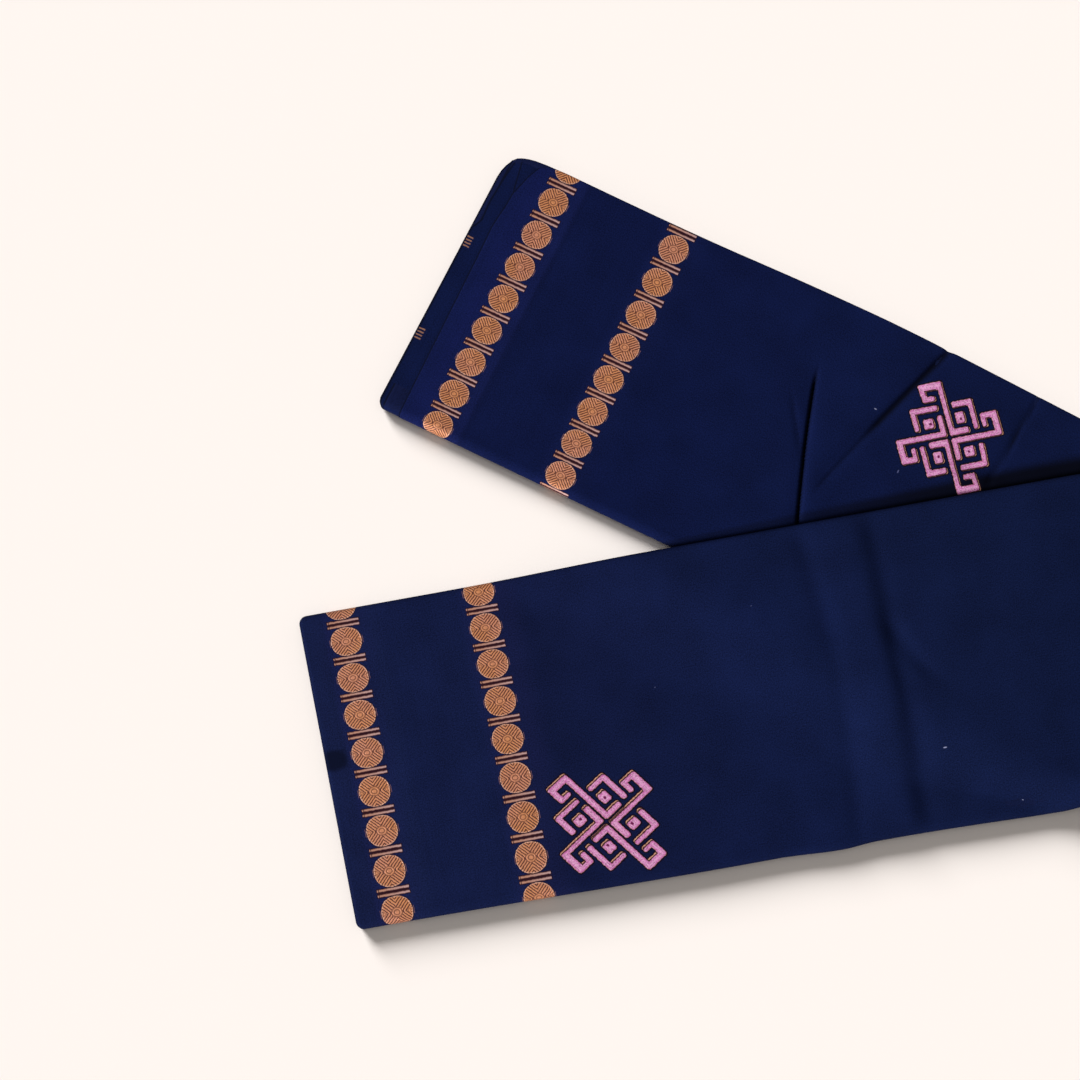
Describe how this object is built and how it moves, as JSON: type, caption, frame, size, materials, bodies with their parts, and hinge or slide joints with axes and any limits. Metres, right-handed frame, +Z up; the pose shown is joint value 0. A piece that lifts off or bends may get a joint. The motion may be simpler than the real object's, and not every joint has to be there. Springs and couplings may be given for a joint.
{
  "type": "folded saree",
  "caption": "Cotton saree folded lengthways into a flat strip of many layers and turned back on itself in a sideways V, one limb over the other.",
  "frame": {"origin": "on the surface that the saree lies on, under the middle of its box", "axes": "+Z up from the surface, +X to the picture's right, towards the turn, +Y to the picture's top"},
  "size_m": [0.646, 0.5768, 0.0235],
  "materials": {
    "navy_cotton_zari": "fine matt navy cotton with woven copper zari discs and a pink block print",
    "navy_cotton_layers": "folded edges and selvedges of matt navy cotton"
  },
  "bodies": {
    "root": {"hidden_layers": "navy_cotton_layers", "upper_limb_cloth": "navy_cotton_zari", "upper_end_second_layer": "navy_cotton_zari", "turn_cloth": "navy_cotton_zari", "lower_limb_cloth": "navy_cotton_zari"}
  },
  "joints": []
}
